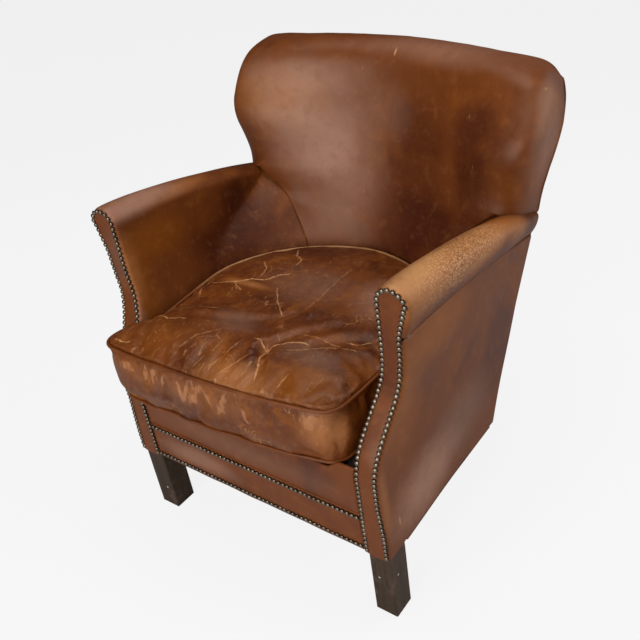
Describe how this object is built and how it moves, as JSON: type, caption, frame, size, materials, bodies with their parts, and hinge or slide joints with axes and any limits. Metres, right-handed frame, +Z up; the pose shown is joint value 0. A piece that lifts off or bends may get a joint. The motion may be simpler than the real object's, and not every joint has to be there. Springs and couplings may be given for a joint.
{
  "type": "club chair",
  "caption": "Worn leather club chair with a low barrel back, rolled arms with nailed serpentine fronts, a loose seat cushion and square wooden legs.",
  "frame": {"origin": "on the floor under the middle of the chair's box", "axes": "+Z up; the chair faces -Y; +X is the right-hand side for someone who stands in front of the chair and looks at it"},
  "size_m": [0.6798, 0.6904, 0.823],
  "materials": {
    "leather": "worn cigar-brown leather, soft sheen",
    "seat_leather": "worn and cracked brown leather",
    "piping_leather": "dark rubbed leather",
    "leg_wood": "dark-stained, scuffed",
    "frame_wood": "plain, unfinished",
    "webbing": "plain woven",
    "dust_cloth": "matt black cloth"
  },
  "bodies": {
    "root": {"leg_front_left": "leg_wood", "leg_front_right": "leg_wood", "leg_rear_left": "leg_wood", "leg_rear_right": "leg_wood", "rail_front": "frame_wood", "rail_rear": "frame_wood", "rail_side_left": "frame_wood", "rail_side_right": "frame_wood", "corner_block_front_left": "frame_wood", "corner_block_front_right": "frame_wood", "corner_block_rear_left": "frame_wood", "corner_block_rear_right": "frame_wood", "arm_post_left": "frame_wood", "arm_post_right": "frame_wood", "arm_rail_left": "frame_wood", "arm_rail_right": "frame_wood", "back_post_left": "frame_wood", "back_post_right": "frame_wood", "wing_post_left": "frame_wood", "wing_post_right": "frame_wood", "back_lower_rail": "frame_wood", "crest_rail": "frame_wood", "seat_strap_cross_1": "webbing", "seat_strap_cross_2": "webbing", "seat_strap_cross_3": "webbing", "seat_strap_long_1": "webbing", "seat_strap_long_2": "webbing", "seat_strap_long_3": "webbing", "back_strap_1": "webbing", "back_strap_2": "webbing", "back_strap_3": "webbing", "dust_cover": "dust_cloth", "seat_deck": "dust_cloth", "seat_cushion": "seat_leather", "cushion_piping_top": "piping_leather", "cushion_piping_bottom": "piping_leather", "hem_welt_left": "piping_leather", "hem_welt_right": "piping_leather", "hem_welt_back": "piping_leather", "inside_back": "leather", "outside_back": "leather", "inside_arm_left": "leather", "inside_arm_right": "leather", "outside_arm_left": "leather", "outside_arm_right": "leather", "arm_facing_left": "leather", "arm_facing_right": "leather", "front_band_upper": "leather", "front_band_lower": "leather"}
  },
  "joints": []
}
